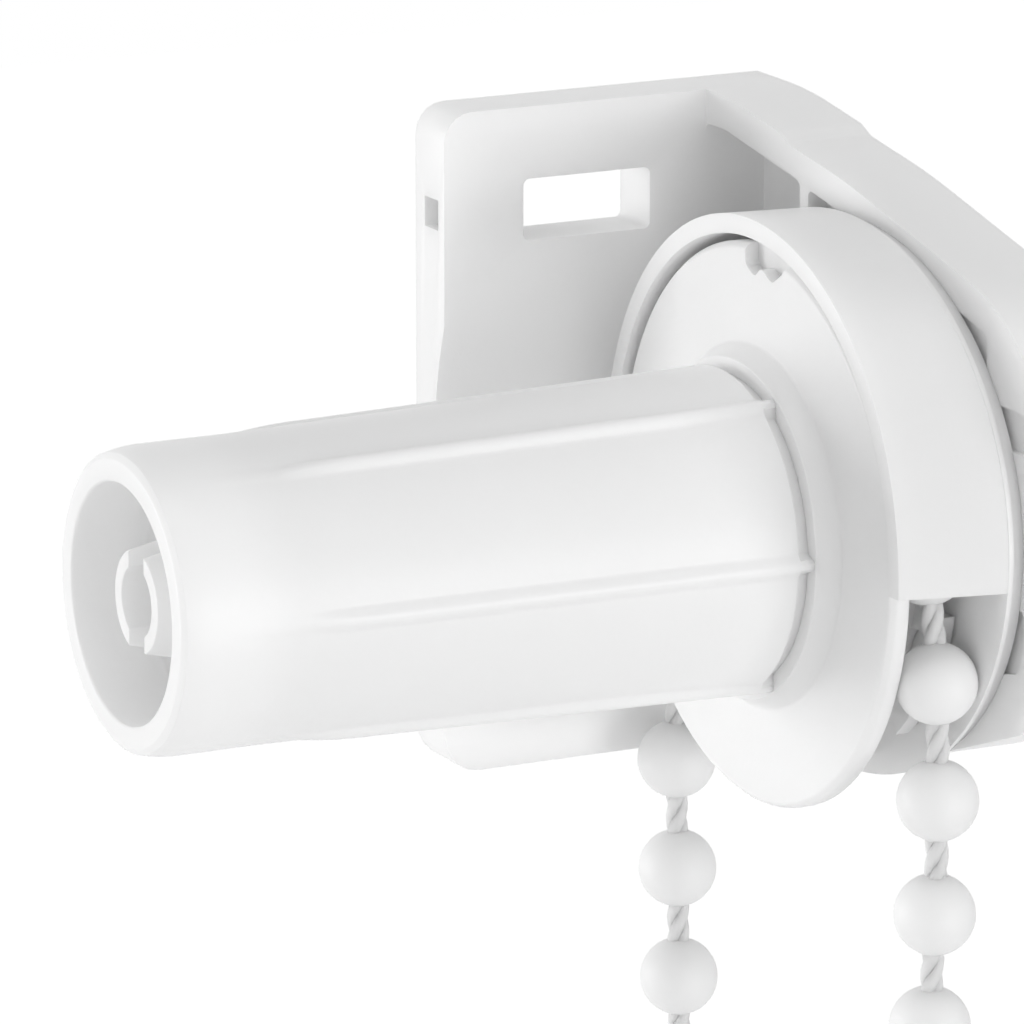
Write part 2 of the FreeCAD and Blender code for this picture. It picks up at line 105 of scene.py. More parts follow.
class Workshop:
    """Mesh operations that the sub-assemblies share."""

    @staticmethod
    def face(bm: bmesh.types.BMesh, corners: Sequence[Vector]) -> bmesh.types.BMFace:
        """Returns a new face through corners.

        Args:
            bm: The mesh that gets the face.
            corners: Its corners, in order.

        Returns:
            The face.
        """
        return bm.faces.new([bm.verts.new(corner) for corner in corners])

    @staticmethod
    def round_corners(bm: bmesh.types.BMesh, rounds: dict[int, float], steps: int = 4) -> None:
        """Rounds chosen corners of a mesh that is one flat face.

        Args:
            bm: The mesh, whose vertices stand in the outline's order.
            rounds: The round of each corner, by its place in the outline.
            steps: Segments of each round.
        """
        bm.verts.ensure_lookup_table()
        chosen = [(bm.verts[index], offset) for index, offset in rounds.items() if offset > 0]
        for vert, offset in chosen:
            bmesh.ops.bevel(bm, geom=[vert], offset=offset, offset_type="OFFSET", segments=steps,
                            profile=0.5, affect="VERTICES", clamp_overlap=True, material=-1)

    @staticmethod
    def prism(corners: Sequence[Point2], plane: Plane, low: float, high: float,
              rounds: dict[int, float] | None = None, steps: int = 5) -> bmesh.types.BMesh:
        """Returns an outline pushed along its plane's normal.

        Args:
            corners: The outline.
            plane: The plane that it is drawn in.
            low: Where the prism starts on the normal.
            high: Where it ends.
            rounds: The round of each corner, by its place in the outline.
            steps: Segments of each round.

        Returns:
            The closed mesh.
        """
        bm = bmesh.new()
        if plane is Plane.YZ:
            points = [Vector((low, a, b)) for a, b in corners]
            push = Vector((high - low, 0, 0))
        else:
            points = [Vector((a, low, b)) for a, b in corners]
            push = Vector((0, high - low, 0))
        Workshop.face(bm, points)
        Workshop.round_corners(bm, rounds or {}, steps)
        made = bmesh.ops.extrude_face_region(bm, geom=list(bm.faces))["geom"]
        moved = [item for item in made if isinstance(item, bmesh.types.BMVert)]
        bmesh.ops.translate(bm, vec=push, verts=moved)
        bmesh.ops.recalc_face_normals(bm, faces=list(bm.faces))
        return bm

    @staticmethod
    def block(low: Sequence[float], high: Sequence[float]) -> bmesh.types.BMesh:
        """Returns a block between two corners."""
        bm = bmesh.new()
        size = Vector(high) - Vector(low)
        middle = (Vector(high) + Vector(low)) / 2
        bmesh.ops.create_cube(bm, size=1.0, matrix=Matrix.Translation(middle) @ Matrix.Diagonal(
            (*size, 1.0)))
        return bm

    @staticmethod
    def rod(radius: float, start: float, end: float, y: float = 0.0, z: float = 0.0,
            sides: int = 48) -> bmesh.types.BMesh:
        """Returns a round rod along X.

        Args:
            radius: Its radius.
            start: Where it starts on X.
            end: Where it ends.
            y: Its axis's place on Y.
            z: Its axis's place on Z.
            sides: Flats round it.

        Returns:
            The closed mesh.
        """
        bm = bmesh.new()
        place = Matrix.Translation(Vector(((start + end) / 2, y, z)))
        bmesh.ops.create_cone(bm, cap_ends=True, segments=sides, radius1=radius, radius2=radius,
                              depth=end - start,
                              matrix=place @ Matrix.Rotation(math.pi / 2, 4, "Y"))
        return bm

    @staticmethod
    def turned(corners: Sequence[Point2], rounds: dict[int, float] | None = None,
               segments: int = 192, steps: int = 4) -> bmesh.types.BMesh:
        """Returns a profile turned about the X axis.

        Args:
            corners: The profile, as (along the axis, radius).
            rounds: The round of each corner, by its place in the profile.
            segments: Segments round the axis.
            steps: Segments of each round.

        Returns:
            The closed mesh.
        """
        bm = bmesh.new()
        Workshop.face(bm, [Vector((x, 0, r)) for x, r in corners])
        Workshop.round_corners(bm, rounds or {}, steps)
        bmesh.ops.delete(bm, geom=list(bm.faces), context="FACES_ONLY")
        for edge in [e for e in bm.edges if all(vert.co.z < 1e-6 for vert in e.verts)]:
            bm.edges.remove(edge)
        bmesh.ops.spin(bm, geom=list(bm.verts) + list(bm.edges), cent=(0, 0, 0), axis=(1, 0, 0),
                       angle=2 * math.pi, steps=segments, use_merge=True, dvec=(0, 0, 0))
        bmesh.ops.remove_doubles(bm, verts=list(bm.verts), dist=1e-4)
        bmesh.ops.recalc_face_normals(bm, faces=list(bm.faces))
        return bm

    @staticmethod
    def to_object(bm: bmesh.types.BMesh, name: str, to_row: Matrix) -> bpy.types.Object:
        """Carries a mesh into the model's frame and makes it an object.

        Args:
            bm: The mesh in millimetres, which is freed.
            name: The object's name.
            to_row: The matrix into the model's frame.

        Returns:
            The object, at the origin.
        """
        bm.transform(to_row)
        mesh = bpy.data.meshes.new(name)
        bm.to_mesh(mesh)
        bm.free()
        obj = bpy.data.objects.new(name, mesh)
        bpy.context.scene.collection.objects.link(obj)
        return obj

    @staticmethod
    def settle(obj: bpy.types.Object) -> bpy.types.Object:
        """Applies an object's modifiers to its mesh and returns it."""
        depsgraph = bpy.context.evaluated_depsgraph_get()
        mesh = bpy.data.meshes.new_from_object(obj.evaluated_get(depsgraph))
        old = obj.data
        obj.modifiers.clear()
        obj.data = mesh
        mesh.name = obj.name
        bpy.data.meshes.remove(old)
        return obj

    @staticmethod
    def curve_mesh(curve: bpy.types.Curve) -> bpy.types.Mesh:
        """Returns a curve as a mesh, and removes the curve."""
        carrier = bpy.data.objects.new(curve.name, curve)
        bpy.context.scene.collection.objects.link(carrier)
        depsgraph = bpy.context.evaluated_depsgraph_get()
        mesh = bpy.data.meshes.new_from_object(carrier.evaluated_get(depsgraph))
        bpy.data.objects.remove(carrier)
        bpy.data.curves.remove(curve)
        return mesh

    @staticmethod
    def combine(base: bpy.types.Object, tools: Iterable[bmesh.types.BMesh], to_row: Matrix,
                cut: bool) -> bpy.types.Object:
        """Cuts tools out of a solid, or joins them to it.

        Args:
            base: The solid.
            tools: The tools, in millimetres.
            to_row: The matrix that carries them to the solid.
            cut: True to cut, False to join.

        Returns:
            The solid.
        """
        made = [Workshop.to_object(tool, f"{base.name}_tool", to_row) for tool in tools]
        for tool in made:
            step = base.modifiers.new("combine", "BOOLEAN")
            step.operation = "DIFFERENCE" if cut else "UNION"
            step.solver = "EXACT"
            step.object = tool
        Workshop.settle(base)
        for tool in made:
            mesh = tool.data
            bpy.data.objects.remove(tool)
            bpy.data.meshes.remove(mesh)
        return base

    @staticmethod
    def soften(obj: bpy.types.Object, width: float, steps: int = 3,
               angle: float = 32.0) -> bpy.types.Object:
        """Rounds a moulding's sharp edges.

        Args:
            obj: The moulding.
            width: The round, in millimetres.
            steps: Segments of the round.
            angle: Edges sharper than this are rounded, in degrees.

        Returns:
            The moulding.
        """
        merge = obj.modifiers.new("merge", "WELD")
        merge.merge_threshold = 2e-6
        bevel = obj.modifiers.new("round", "BEVEL")
        bevel.width = width * MM
        bevel.segments = steps
        bevel.limit_method = "ANGLE"
        bevel.angle_limit = math.radians(angle)
        bevel.use_clamp_overlap = True
        bevel.harden_normals = False
        bevel.miter_outer = "MITER_ARC"
        return Workshop.settle(obj)

    @staticmethod
    def shade(obj: bpy.types.Object, angle: float = 38.0) -> bpy.types.Object:
        """Shades an object smooth, with creases at edges sharper than an angle in degrees."""
        obj.data.shade_smooth()
        obj.data.set_sharp_from_angle(angle=math.radians(angle))
        return obj


@dataclass(frozen=True)
class SkinEffect:
    """The node group for the fine grain that a mould leaves on plastic."""

    name: str = "MouldSkin"
    grain_middle: float = 0.5

    def group(self) -> bpy.types.NodeTree:
        """Returns the node group, which is built the first time."""
        found = bpy.data.node_groups.get(self.name)
        if found is not None:
            return found
        tree = bpy.data.node_groups.new(self.name, "ShaderNodeTree")
        face = tree.interface
        for name, kind, value in (("Colour", "NodeSocketColor", (0.9, 0.9, 0.9, 1.0)),
                                  ("Shade", "NodeSocketColor", (0.86, 0.86, 0.86, 1.0)),
                                  ("Cloud Scale", "NodeSocketFloat", 90.0),
                                  ("Grain Scale", "NodeSocketFloat", 2400.0),
                                  ("Roughness", "NodeSocketFloat", 0.4),
                                  ("Roughness Spread", "NodeSocketFloat", 0.1)):
            socket = face.new_socket(name=name, in_out="INPUT", socket_type=kind)
            socket.default_value = value
        for name, kind in (("Colour", "NodeSocketColor"), ("Roughness", "NodeSocketFloat"),
                           ("Height", "NodeSocketFloat")):
            face.new_socket(name=name, in_out="OUTPUT", socket_type=kind)
        nodes, links = tree.nodes, tree.links
        source, sink = nodes.new("NodeGroupInput"), nodes.new("NodeGroupOutput")
        place = nodes.new("ShaderNodeTexCoord")
        cloud, grain = nodes.new("ShaderNodeTexNoise"), nodes.new("ShaderNodeTexNoise")
        cloud.inputs["Detail"].default_value = 4.0
        grain.inputs["Detail"].default_value = 3.0
        grain.inputs["Roughness"].default_value = 0.6
        for texture, scale in ((cloud, "Cloud Scale"), (grain, "Grain Scale")):
            links.new(place.outputs["Object"], texture.inputs["Vector"])
            links.new(source.outputs[scale], texture.inputs["Scale"])
        mix = nodes.new("ShaderNodeMix")
        mix.data_type = "RGBA"
        links.new(cloud.outputs["Fac"], mix.inputs["Factor"])
        links.new(source.outputs["Colour"], mix.inputs["A"])
        links.new(source.outputs["Shade"], mix.inputs["B"])
        links.new(mix.outputs["Result"], sink.inputs["Colour"])
        centred = nodes.new("ShaderNodeMath")
        centred.operation = "SUBTRACT"
        centred.inputs[1].default_value = self.grain_middle
        links.new(grain.outputs["Fac"], centred.inputs[0])
        spread = nodes.new("ShaderNodeMath")
        spread.operation = "MULTIPLY_ADD"
        links.new(centred.outputs[0], spread.inputs[0])
        links.new(source.outputs["Roughness Spread"], spread.inputs[1])
        links.new(source.outputs["Roughness"], spread.inputs[2])
        links.new(spread.outputs[0], sink.inputs["Roughness"])
        links.new(grain.outputs["Fac"], sink.inputs["Height"])
        return tree


@dataclass(frozen=True)
class MouldedPlastic:
    """White moulded plastic with a fine grain.

    Attributes:
        name: The material's name.
        colour: Its grey, in linear light.
        shade: The slightly darker grey that clouds it.
        cloud: Scale of the clouding.
        grain: Scale of the grain.
        relief: Height of the grain, in metres.
        roughness: Mean roughness of its gloss.
        spread: How far the grain moves the roughness.
    """

    name: str
    colour: float = 0.93
    shade: float = 0.90
    cloud: float = 90.0
    grain: float = 2400.0
    relief: float = 0.00001
    roughness: float = 0.38
    spread: float = 0.12

    def material(self) -> bpy.types.Material:
        """Returns the material."""
        material = bpy.data.materials.new(self.name)
        material.use_nodes = True
        nodes, links = material.node_tree.nodes, material.node_tree.links
        shader = nodes["Principled BSDF"]
        skin = nodes.new("ShaderNodeGroup")
        skin.node_tree = SkinEffect().group()
        skin.inputs["Colour"].default_value = (self.colour,) * 3 + (1.0,)
        skin.inputs["Shade"].default_value = (self.shade,) * 3 + (1.0,)
        skin.inputs["Cloud Scale"].default_value = self.cloud
        skin.inputs["Grain Scale"].default_value = self.grain
        skin.inputs["Roughness"].default_value = self.roughness
        skin.inputs["Roughness Spread"].default_value = self.spread
        bump = nodes.new("ShaderNodeBump")
        bump.inputs["Strength"].default_value = 1.0
        bump.inputs["Distance"].default_value = self.relief
        links.new(skin.outputs["Colour"], shader.inputs["Base Color"])
        links.new(skin.outputs["Roughness"], shader.inputs["Roughness"])
        links.new(skin.outputs["Height"], bump.inputs["Height"])
        links.new(bump.outputs["Normal"], shader.inputs["Normal"])
        shader.inputs["IOR"].default_value = 1.46
        shader.inputs["Subsurface Weight"].default_value = 0.5
        shader.inputs["Subsurface Radius"].default_value = (0.002, 0.002, 0.002)
        shader.inputs["Subsurface Scale"].default_value = 1.0
        return material


def put_on(obj: bpy.types.Object, body: Body, finish: MouldedPlastic,
           nodes: Sequence[str]) -> bpy.types.Object:
    """Gives a piece its finish, its body and the nodes that it stands for.

    Args:
        obj: The piece.
        body: The body that it rides on.
        finish: The finish.
        nodes: The nodes that it replaces.

    Returns:
        The piece.
    """
    obj.data.materials.clear()
    obj.data.materials.append(finish.material())
    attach(obj, body.value)
    if nodes:
        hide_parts(*nodes)
    LOG.info("%s: %d faces", obj.name, len(obj.data.polygons))
    return obj


@dataclass
class WallBracket:
    """The wall plate and the arm that carries the drive, one moulding."""

    half_width: float = 10.15
    half_height: float = 18.25
    low: float = -17.35
    depth: float = 3.4
    corner: float = 2.0
    relief: float = 1.1
    relief_top: float = 7.0
    relief_bottom: float = 15.6
    relief_ramp: float = 3.6
    slot_length: float = 7.45
    slot_height: float = 3.3
    slot_rise: float = 12.75
    slot_shift: float = 1.8
    core: float = 1.6
    arm_face: float = -5.25
    deep_pocket: float = 3.5
    crown_pocket: float = 1.1
    shallow_pocket: float = 0.3
    wall: float = 1.8
    reach: float = 39.0
    edge_round: float = 0.3
    finish: MouldedPlastic = field(default_factory=lambda: MouldedPlastic("bracket_white"))

    def arm_edge(self, inset: float) -> list[Point2]:
        """Returns the arm's outline, drawn in by an inset."""
        top, low = self.half_height - inset, self.low + inset
        return [
            (0.0 + inset, low), (3.4 + inset, low), (20.5, -12.7 + inset), (27.5, -12.2 + inset),
            (37.8 - inset * 0.6, -8.4 + inset * 0.8), (self.reach - inset, -4.4 + inset * 0.4),
            (self.reach - inset, 8.8 - inset * 0.4), (33.8 - inset * 0.5, 12.8 - inset * 0.95),
            (18.5, 16.1 - inset), (13.6, 16.78 - inset), (12.5, 16.95 - inset),
            (11.4, 17.42 - inset), (5.6, top), (0.0 + inset, top),
        ]

    def build(self) -> bpy.types.Object:
        """Models the moulding and returns it."""
        right, high, low = self.half_width, self.half_height, self.low
        plate = Workshop.prism([(-right, low), (right, low), (right, high), (-right, high)],
                               Plane.XZ, 0.0, self.depth, {1: self.corner, 2: self.corner * 0.8})
        bracket = Workshop.to_object(plate, "Bracket_moulding", WALL_TO_ROW)
        arm = Workshop.prism(self.arm_edge(0.0), Plane.YZ, -right, self.arm_face,
                             {3: 1.0, 4: 0.8, 5: 1.6, 6: 1.6, 7: 2.0, 8: 2.0, 10: 0.2, 11: 0.2, 12: 2.0})
        Workshop.combine(bracket, [arm], WALL_TO_ROW, cut=False)
        Workshop.combine(bracket, self.pockets(), WALL_TO_ROW, cut=True)
        Workshop.combine(bracket, self.openings(), WALL_TO_ROW, cut=True)
        Workshop.soften(bracket, self.edge_round)
        Workshop.shade(bracket)
        return put_on(bracket, Body.BRACKET, self.finish, ["wall_bracket"])

    def pockets(self) -> list[bmesh.types.BMesh]:
        """Returns the tools that hollow the arm from its drive side."""
        face, wall = self.arm_face, self.wall
        rib_low, rib_high = 13.75, 14.65
        upper_rear = [(self.depth, 0.2), (rib_low, 0.2), (rib_low, 17.0 - wall),
                      (5.6, 18.25 - wall), (self.depth, 18.25 - wall)]
        lower_rear = [(self.depth, -17.4 + wall), (rib_low, -14.8 + wall), (rib_low, -1.2),
                      (self.depth, -1.2)]
        crown = [(rib_high, 16.9 - wall - 6.5), (rib_high, 16.75 - wall), (18.5, 16.1 - wall),
                 (24.5, 14.75 - wall)]
        room_upper = [(29.0, 7.4), (33.2, 7.4), (33.2, 12.8 - wall), (26.5, 14.3 - wall)]
        nose_upper = [(33.4, 5.6), (self.reach - wall, 5.6), (self.reach - wall, 7.7),
                      (33.4, 7.7)]
        nose_lower = [(30.5, -2.3), (self.reach - wall, -2.3), (self.reach - wall, -4.2),
                      (36.8, -5.6), (31.0, -6.9)]
        deep, shallow = self.deep_pocket, self.shallow_pocket
        outlines = ((upper_rear, deep), (lower_rear, deep), (crown, self.crown_pocket),
                    (room_upper, shallow), (nose_upper, shallow), (nose_lower, shallow))
        return [Workshop.prism(line, Plane.YZ, face - depth, face + 1.0,
                               {k: 0.4 for k in range(len(line))})
                for line, depth in outlines]

    def openings(self) -> list[bmesh.types.BMesh]:
        """Returns the tools for the slots, the core hole, the hollow and the drive's socket."""
        tools = []
        for sign in (1.0, -1.0):
            low, high = sign * self.slot_rise - self.slot_height / 2, \
                sign * self.slot_rise + self.slot_height / 2
            start = self.slot_shift - self.slot_length / 2
            end = start + self.slot_length
            tools.append(Workshop.prism([(start, low), (end, low), (end, high), (start, high)],
                                        Plane.XZ, -1.0, self.depth + 1.0,
                                        {k: 0.35 for k in range(4)}))
        middle = self.depth / 2 + 0.2
        tools.append(Workshop.block(
            (self.slot_shift + 1.0, middle - self.core / 2, self.slot_rise - self.core / 2),
            (self.half_width + 1.0, middle + self.core / 2, self.slot_rise + self.core / 2)))
        face, deep = self.depth, self.depth - self.relief
        tools.append(Workshop.prism(
            [(face + 1, self.relief_top), (face, self.relief_top),
             (deep, self.relief_top - self.relief_ramp),
             (deep, -self.relief_bottom + self.relief_ramp), (face, -self.relief_bottom),
             (face + 1, -self.relief_bottom)],
            Plane.YZ, self.arm_face, self.half_width + 1.0, {2: 2.0, 3: 2.0}, steps=8))
        tools.append(Workshop.block((-12.0, 20.5 - 4.6, -0.9 - 3.1), (-8.0, 20.5 + 4.6, -0.9 + 3.1)))
        return tools


@dataclass
class ChainGuard:
    """The guard round the chain wheel with the fixed spindle and its split pin, one moulding."""

    rim_radius: float = 15.75
    rim_at: float = 0.3
    rise: float = 0.3
    back_half_width: float = 17.1
    back_half_height: float = 14.5
    back_lift: float = 1.25
    back_at: float = -5.4
    wall: float = 1.0
    plate_front: float = -5.2
    plate_rim: float = -5.45
    plate_back: float = -6.3
    plate_inset: float = 0.5
    mouth_room: float = 0.25
    mouth_wall: float = 2.2
    spindle_radius: float = 6.2
    spindle_end: float = 22.2
    pin_radius: float = 2.7
    pin_wall: float = 0.9
    pin_gap: float = 1.8
    pin_end: float = 34.4
    barb: float = 0.35
    barb_at: float = 31.3
    sink: float = 0.06
    edge_round: float = 0.16
    segments: int = 240
    finish: MouldedPlastic = field(default_factory=lambda: MouldedPlastic("guard_white"))

    def build(self) -> bpy.types.Object:
        """Models the moulding and returns it."""
        guard = Workshop.to_object(self.shell(), "Guard_housing", AXIS.to_row())
        Workshop.combine(guard, [self.room_opening(), self.wall_opening()], AXIS.to_row(),
                         cut=True)
        Workshop.combine(guard, [self.back_plate()], AXIS.to_row(), cut=False)
        Workshop.soften(guard, self.edge_round)
        Workshop.shade(guard)
        put_on(guard, Body.BRACKET, self.finish, ["guard_housing"])
        spindle = Workshop.to_object(self.pin(), "Guard_spindle", AXIS.to_row())
        Workshop.combine(spindle, [self.pin_gap_tool()], AXIS.to_row(), cut=True)
        Workshop.combine(spindle, [self.spindle()], AXIS.to_row(), cut=False)
        Workshop.soften(spindle, 0.12)
        Workshop.shade(spindle)
        put_on(spindle, Body.BRACKET, self.finish, [])
        return guard

    def shell(self) -> bmesh.types.BMesh:
        """Returns the wall as a closed ring between its front circle and its back oval."""
        outer, inner, back = self.rim_radius, self.rim_radius - self.wall, self.back_at - self.sink
        bm = Workshop.turned([(self.rim_at, outer), (back, outer), (back, inner),
                              (self.rim_at, inner)], segments=self.segments)
        between = (outer + inner) / 2
        rear = [vert for vert in bm.verts if vert.co.x < (back + self.rim_at) / 2]
        for radius, ring in ((outer, [v for v in rear if v.co.length > math.hypot(back, between)]),
                             (inner, [v for v in rear if v.co.length < math.hypot(back, between)])):
            thinner = outer - radius
            bmesh.ops.scale(bm, verts=ring, vec=(
                1.0, (self.back_half_width - thinner) / radius,
                (self.back_half_height - thinner) / radius))
        bmesh.ops.translate(bm, verts=rear, vec=(0, 0, self.back_lift))
        bmesh.ops.translate(bm, verts=[v for v in bm.verts if v.co.x > back + self.wall],
                            vec=(0, 0, self.rise))
        return bm

    def room_opening(self) -> bmesh.types.BMesh:
        """Returns the tool that opens the wall below the axis on the room side."""
        return Workshop.block((-9, 0, -40), (9, 40, -self.mouth_room))

    def wall_opening(self) -> bmesh.types.BMesh:
        """Returns the tool that opens the wall below the axis on the wall's side."""
        return Workshop.block((-9, -40, -40), (9, 0.01, -self.mouth_wall))

    def back_plate(self) -> bmesh.types.BMesh:
        """Returns the oval plate behind the wheel, thin at its rim and thicker inside."""
        half, inner = self.back_half_width, self.back_half_width - self.plate_inset
        bm = Workshop.turned([
            (self.plate_back, 0.0), (self.plate_back, inner), (self.plate_rim, inner),
            (self.plate_rim, half), (self.plate_front, half), (self.plate_front, 0.0),
        ], segments=self.segments)
        bmesh.ops.scale(bm, verts=list(bm.verts), vec=(1.0, 1.0, self.back_half_height / half))
        bmesh.ops.translate(bm, verts=list(bm.verts), vec=(0, 0, self.back_lift))
        return bm

    def spindle(self) -> bmesh.types.BMesh:
        """Returns the spindle that the sleeve turns on."""
        start, end = self.plate_back + 0.4, self.spindle_end
        return Workshop.turned([(start, 0.0), (start, self.spindle_radius),
                                (end, self.spindle_radius), (end, 0.0)], {2: 0.4}, segments=96)

    def pin(self) -> bmesh.types.BMesh:
        """Returns the hollow pin with its barbed end."""
        start, end, pin = self.spindle_end - 1.0, self.pin_end, self.pin_radius
        bore = pin - self.pin_wall
        return Workshop.turned([
            (start, bore), (start, pin), (self.barb_at, pin), (self.barb_at, pin + self.barb),
            (self.barb_at + 0.9, pin + self.barb), (end, pin - 0.1), (end, bore),
        ], {4: 0.2}, segments=96)

    def pin_gap_tool(self) -> bmesh.types.BMesh:
        """Returns the tool for the gap that splits the pin into two fingers."""
        return Workshop.block((self.spindle_end - 2.0, -self.pin_gap / 2, -6.0),
                              (self.pin_end + 1.0, self.pin_gap / 2, 6.0))


@dataclass
class ChainWheel:
    """The disc with the pocketed wheel behind it and the collar before it."""

    disc_radius: float = 14.5
    face_radius: float = 14.3
    lip_radius: float = 14.6
    lip_at: float = 0.35
    thickness: float = 1.04
    wheel_radius: float = 12.4
    back: float = -5.15
    groove_middle: float = -3.2
    groove_width: float = 1.9
    groove_floor: float = 9.94
    bore: float = 6.25
    collar_radius: float = 8.85
    collar_root: float = 9.45
    collar_foot: float = 1.0
    collar_height: float = 1.15
    pocket_radius: float = 2.35
    pitch_radius: float = 11.43
    pockets: int = 12
    phase: float = 1.5
    notch_depth: float = 1.5
    notch_tooth: float = 1.0
    notch_pitch: float = 1.8
    notch_shift: float = 0.95
    notch_near: float = 1.9
    notch_far: float = 2.4
    notch_sink: float = 0.75
    edge_round: float = 0.12
    segments: int = 256
    finish: MouldedPlastic = field(default_factory=lambda: MouldedPlastic(
        "wheel_white", relief=0.00002, grain=1500.0))

    def build(self) -> bpy.types.Object:
        """Models the wheel and returns it."""
        low = self.groove_middle - self.groove_width / 2
        high = self.groove_middle + self.groove_width / 2
        bore, collar = self.bore, self.collar_radius
        profile = [
            (self.back, bore), (self.back, self.wheel_radius), (low, self.wheel_radius),
            (low, self.groove_floor), (high, self.groove_floor), (high, self.wheel_radius),
            (-self.thickness, self.wheel_radius), (-self.thickness, self.lip_radius),
            (-self.lip_at, self.lip_radius), (0.0, self.face_radius),
            (0.0, self.collar_root), (self.collar_foot, collar), (self.collar_height, collar),
            (self.collar_height, bore),
        ]
        rounds = {1: 0.3, 7: 0.12, 8: 0.12, 9: 0.1, 10: 0.12, 12: 0.06}
        wheel = Workshop.to_object(Workshop.turned(profile, rounds, self.segments),
                                   "Chain_wheel_moulding", AXIS.to_row())
        Workshop.combine(wheel, self.pocket_tools() + self.notch_tools(), AXIS.to_row(), cut=True)
        Workshop.soften(wheel, self.edge_round, steps=2, angle=45.0)
        Workshop.shade(wheel)
        return put_on(wheel, Body.DRIVE, self.finish, ["chain_wheel"])

    def pocket_tools(self) -> list[bmesh.types.BMesh]:
        """Returns the tools for the pockets that the beads sit in."""
        tools = []
        for k in range(self.pockets):
            angle = math.radians(self.phase + 360.0 * k / self.pockets)
            tools.append(Workshop.rod(self.pocket_radius, self.back - 1, -self.thickness,
                                      self.pitch_radius * math.sin(angle),
                                      self.pitch_radius * math.cos(angle)))
        return tools

    def notch_tools(self) -> list[bmesh.types.BMesh]:
        """Returns the tools for the double notch in the disc's edge."""
        middle, pitch = self.notch_shift, self.notch_pitch
        near, far = middle - self.notch_near, middle + self.notch_far
        tooth, deep = self.disc_radius - self.notch_tooth, self.disc_radius - self.notch_depth
        outline = [
            (near, self.disc_radius + 1), (near, tooth), (middle - pitch / 2, deep),
            (middle - pitch / 5, tooth), (middle, tooth), (middle + pitch / 2, deep),
            (far - self.notch_tooth / 2, tooth + 0.1),
            (far, self.disc_radius - self.notch_depth / 4), (far, self.disc_radius + 1),
        ]
        rounds = {1: 0.3, 2: 0.3, 3: 0.12, 4: 0.12, 5: 0.25, 6: 0.2}
        return [Workshop.prism(outline, Plane.YZ, -self.notch_sink, 1.0, rounds)]


